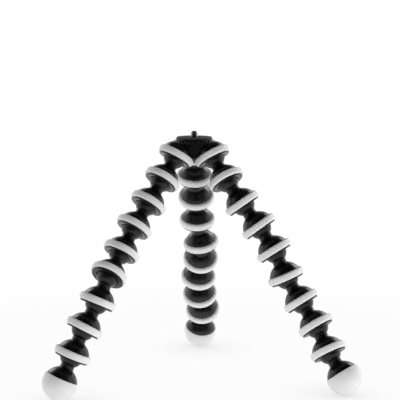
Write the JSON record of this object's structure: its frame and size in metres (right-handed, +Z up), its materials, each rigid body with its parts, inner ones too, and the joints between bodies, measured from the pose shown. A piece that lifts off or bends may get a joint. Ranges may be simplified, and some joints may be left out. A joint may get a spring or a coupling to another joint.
{
  "type": "flexible leg tripod",
  "caption": "Small camera tripod with a round screw head and three bendable legs, each a string of ball-and-socket links with rubber grip rings and a rubber ball foot.",
  "frame": {"origin": "on the floor under the middle of the three feet's box", "axes": "+Z up along the camera screw, +X from the left leg to the right leg, +Y along the rear leg"},
  "size_m": [0.2528, 0.2338, 0.2058],
  "materials": {
    "black_plastic": "moulded black nylon, satin",
    "pale_rubber": "moulded pale grey rubber, satin",
    "pad_rubber": "black rubber sheet, matt",
    "steel": "turned steel, bright"
  },
  "bodies": {
    "hub": {"hub_body": "black_plastic", "hub_rings": "pale_rubber", "camera_plate": "black_plastic", "camera_pad": "pad_rubber"},
    "lock_ring": {"lock_ring": "black_plastic"},
    "camera_screw": {"camera_screw": "steel"},
    "left_leg_1": {"left_link_1": "black_plastic", "left_ring_1": "pale_rubber"},
    "left_leg_2": {"left_link_2": "black_plastic", "left_ring_2": "pale_rubber"},
    "left_leg_3": {"left_link_3": "black_plastic", "left_ring_3": "pale_rubber"},
    "left_leg_4": {"left_link_4": "black_plastic", "left_ring_4": "pale_rubber"},
    "left_leg_5": {"left_link_5": "black_plastic", "left_ring_5": "pale_rubber"},
    "left_leg_6": {"left_link_6": "black_plastic", "left_ring_6": "pale_rubber"},
    "left_leg_7": {"left_link_7": "black_plastic", "left_ring_7": "pale_rubber"},
    "left_leg_8": {"left_link_8": "black_plastic", "left_ring_8": "pale_rubber"},
    "left_leg_9": {"left_ankle": "black_plastic", "left_foot": "pale_rubber"},
    "right_leg_1": {"right_link_1": "black_plastic", "right_ring_1": "pale_rubber"},
    "right_leg_2": {"right_link_2": "black_plastic", "right_ring_2": "pale_rubber"},
    "right_leg_3": {"right_link_3": "black_plastic", "right_ring_3": "pale_rubber"},
    "right_leg_4": {"right_link_4": "black_plastic", "right_ring_4": "pale_rubber"},
    "right_leg_5": {"right_link_5": "black_plastic", "right_ring_5": "pale_rubber"},
    "right_leg_6": {"right_link_6": "black_plastic", "right_ring_6": "pale_rubber"},
    "right_leg_7": {"right_link_7": "black_plastic", "right_ring_7": "pale_rubber"},
    "right_leg_8": {"right_link_8": "black_plastic", "right_ring_8": "pale_rubber"},
    "right_leg_9": {"right_ankle": "black_plastic", "right_foot": "pale_rubber"},
    "rear_leg_1": {"rear_link_1": "black_plastic", "rear_ring_1": "pale_rubber"},
    "rear_leg_2": {"rear_link_2": "black_plastic", "rear_ring_2": "pale_rubber"},
    "rear_leg_3": {"rear_link_3": "black_plastic", "rear_ring_3": "pale_rubber"},
    "rear_leg_4": {"rear_link_4": "black_plastic", "rear_ring_4": "pale_rubber"},
    "rear_leg_5": {"rear_link_5": "black_plastic", "rear_ring_5": "pale_rubber"},
    "rear_leg_6": {"rear_link_6": "black_plastic", "rear_ring_6": "pale_rubber"},
    "rear_leg_7": {"rear_link_7": "black_plastic", "rear_ring_7": "pale_rubber"},
    "rear_leg_8": {"rear_link_8": "black_plastic", "rear_ring_8": "pale_rubber"},
    "rear_leg_9": {"rear_ankle": "black_plastic", "rear_foot": "pale_rubber"}
  },
  "joints": [
    {"name": "left_ball_1", "type": "hinge", "parent": "hub", "child": "left_leg_1", "pos_m": [-0.02246, -0.03586, 0.185], "axis": [-0.5, 0.866, 0], "range_deg": [-33, 23]},
    {"name": "left_ball_2", "type": "hinge", "parent": "left_leg_1", "child": "left_leg_2", "pos_m": [-0.03346, -0.04513, 0.16705], "axis": [-0.6805, -0.3929, 0.6185], "range_deg": [-29, 30]},
    {"name": "left_ball_3", "type": "hinge", "parent": "left_leg_2", "child": "left_leg_3", "pos_m": [-0.04462, -0.05412, 0.14906], "axis": [0.5, -0.866, 0], "range_deg": [-30, 30]},
    {"name": "left_ball_4", "type": "hinge", "parent": "left_leg_3", "child": "left_leg_4", "pos_m": [-0.05562, -0.06338, 0.13111], "axis": [-0.7058, -0.4075, 0.5795], "range_deg": [-31, 28]},
    {"name": "left_ball_5", "type": "hinge", "parent": "left_leg_4", "child": "left_leg_5", "pos_m": [-0.06541, -0.07282, 0.11256], "axis": [-0.5, 0.866, 0], "range_deg": [-36, 21]},
    {"name": "left_ball_6", "type": "hinge", "parent": "left_leg_5", "child": "left_leg_6", "pos_m": [-0.07463, -0.08641, 0.09646], "axis": [-0.7784, -0.4494, 0.4384], "range_deg": [-6, 44]},
    {"name": "left_ball_7", "type": "hinge", "parent": "left_leg_6", "child": "left_leg_7", "pos_m": [-0.08336, -0.09145, 0.07579], "axis": [0.5, -0.866, 0], "range_deg": [-25, 33]},
    {"name": "left_ball_8", "type": "hinge", "parent": "left_leg_7", "child": "left_leg_8", "pos_m": [-0.09384, -0.0963, 0.0559], "axis": [-0.7907, -0.4565, 0.408], "range_deg": [-27, 31]},
    {"name": "left_ball_9", "type": "hinge", "parent": "left_leg_8", "child": "left_leg_9", "pos_m": [-0.10286, -0.09939, 0.03497], "axis": [-0.5, 0.866, 0], "range_deg": [-31, 29]},
    {"name": "right_ball_1", "type": "hinge", "parent": "hub", "child": "right_leg_1", "pos_m": [0.00826, -0.03586, 0.185], "axis": [-0.5, -0.866, 0], "range_deg": [-32, 24]},
    {"name": "right_ball_2", "type": "hinge", "parent": "right_leg_1", "child": "right_leg_2", "pos_m": [0.01913, -0.04473, 0.16677], "axis": [0.7127, -0.4115, 0.568], "range_deg": [-45, 14]},
    {"name": "right_ball_3", "type": "hinge", "parent": "right_leg_2", "child": "right_leg_3", "pos_m": [0.03226, -0.04773, 0.14812], "axis": [0.5, 0.866, 0], "range_deg": [-29, 31]},
    {"name": "right_ball_4", "type": "hinge", "parent": "right_leg_3", "child": "right_leg_4", "pos_m": [0.04565, -0.05094, 0.1297], "axis": [0.724, -0.418, 0.5487], "range_deg": [-26, 33]},
    {"name": "right_ball_5", "type": "hinge", "parent": "right_leg_4", "child": "right_leg_5", "pos_m": [0.05785, -0.05488, 0.1106], "axis": [-0.5, -0.866, 0], "range_deg": [-21, 39]},
    {"name": "right_ball_6", "type": "hinge", "parent": "right_leg_5", "child": "right_leg_6", "pos_m": [0.06724, -0.05734, 0.08975], "axis": [0.7165, -0.4137, 0.5616], "range_deg": [-26, 29]},
    {"name": "right_ball_7", "type": "hinge", "parent": "right_leg_6", "child": "right_leg_7", "pos_m": [0.07938, -0.06205, 0.07079], "axis": [0.5, 0.866, 0], "range_deg": [-27, 31]},
    {"name": "right_ball_8", "type": "hinge", "parent": "right_leg_7", "child": "right_leg_8", "pos_m": [0.09093, -0.0691, 0.05219], "axis": [0.7331, -0.4233, 0.5324], "range_deg": [-25, 34]},
    {"name": "right_ball_9", "type": "hinge", "parent": "right_leg_8", "child": "right_leg_9", "pos_m": [0.10047, -0.07696, 0.0328], "axis": [-0.5, -0.866, 0], "range_deg": [-33, 25]},
    {"name": "rear_ball_1", "type": "hinge", "parent": "hub", "child": "rear_leg_1", "pos_m": [-0.0071, -0.00926, 0.185], "axis": [1, 0, 0], "range_deg": [-18, 38]},
    {"name": "rear_ball_2", "type": "hinge", "parent": "rear_leg_1", "child": "rear_leg_2", "pos_m": [-0.00673, 0.00001, 0.16395], "axis": [0, 0.8106, 0.5856], "range_deg": [-25, 29]},
    {"name": "rear_ball_3", "type": "hinge", "parent": "rear_leg_2", "child": "rear_leg_3", "pos_m": [-0.00543, 0.01346, 0.14534], "axis": [-1, 0, 0], "range_deg": [-41, 18]},
    {"name": "rear_ball_4", "type": "hinge", "parent": "rear_leg_3", "child": "rear_leg_4", "pos_m": [-0.0047, 0.0231, 0.12447], "axis": [0, 0.9203, 0.3913], "range_deg": [-23, 36]},
    {"name": "rear_ball_5", "type": "hinge", "parent": "rear_leg_4", "child": "rear_leg_5", "pos_m": [-0.00138, 0.032, 0.10352], "axis": [1, 0, 0], "range_deg": [-51, 5]},
    {"name": "rear_ball_6", "type": "hinge", "parent": "rear_leg_5", "child": "rear_leg_6", "pos_m": [-0.00194, 0.04849, 0.08749], "axis": [0, 0.8098, 0.5868], "range_deg": [-31, 25]},
    {"name": "rear_ball_7", "type": "hinge", "parent": "rear_leg_6", "child": "rear_leg_7", "pos_m": [-0.0039, 0.06193, 0.06893], "axis": [-1, 0, 0], "range_deg": [-25, 31]},
    {"name": "rear_ball_8", "type": "hinge", "parent": "rear_leg_7", "child": "rear_leg_8", "pos_m": [-0.00233, 0.07634, 0.05107], "axis": [0, 0.7298, 0.6837], "range_deg": [-27, 32]},
    {"name": "rear_ball_9", "type": "hinge", "parent": "rear_leg_8", "child": "rear_leg_9", "pos_m": [0.00031, 0.09196, 0.0344], "axis": [1, 0, 0], "range_deg": [-12, 42]},
    {"name": "lock_ring_turn", "type": "hinge", "parent": "hub", "child": "lock_ring", "pos_m": [-0.0071, -0.027, 0.1959], "axis": [0, 0, 1], "range_deg": [0, 60]},
    {"name": "camera_screw_turn", "type": "hinge", "parent": "hub", "child": "camera_screw", "pos_m": [-0.0071, -0.027, 0.1959], "axis": [0, 0, 1], "continuous": true}
  ]
}
